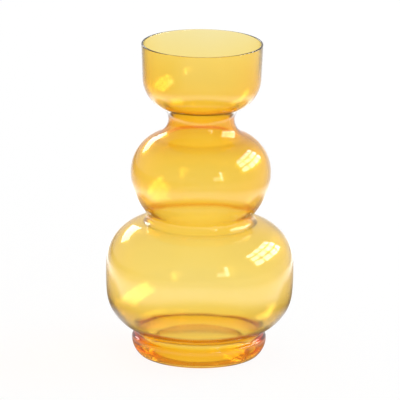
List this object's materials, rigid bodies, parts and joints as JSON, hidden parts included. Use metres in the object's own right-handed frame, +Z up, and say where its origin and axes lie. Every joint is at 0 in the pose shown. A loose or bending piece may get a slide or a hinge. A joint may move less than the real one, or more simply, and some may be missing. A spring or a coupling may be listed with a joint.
{
  "type": "gourd vase",
  "caption": "Gourd-shaped vase of clear amber glass with a cup mouth, narrow neck, two stacked bulbs and a short drum foot.",
  "frame": {"origin": "on the vase's axis, in the plane of the flat face it stands on", "axes": "+Z up along the vase's axis, towards the mouth; the vase is round, so X and Y are free"},
  "size_m": [0.1468, 0.1468, 0.25],
  "materials": {
    "amber_glass": "clear, fire-polished, glossy"
  },
  "bodies": {
    "root": {"foot": "amber_glass", "lower_bulb": "amber_glass", "middle_bulb": "amber_glass", "mouth_cup": "amber_glass"}
  },
  "joints": []
}
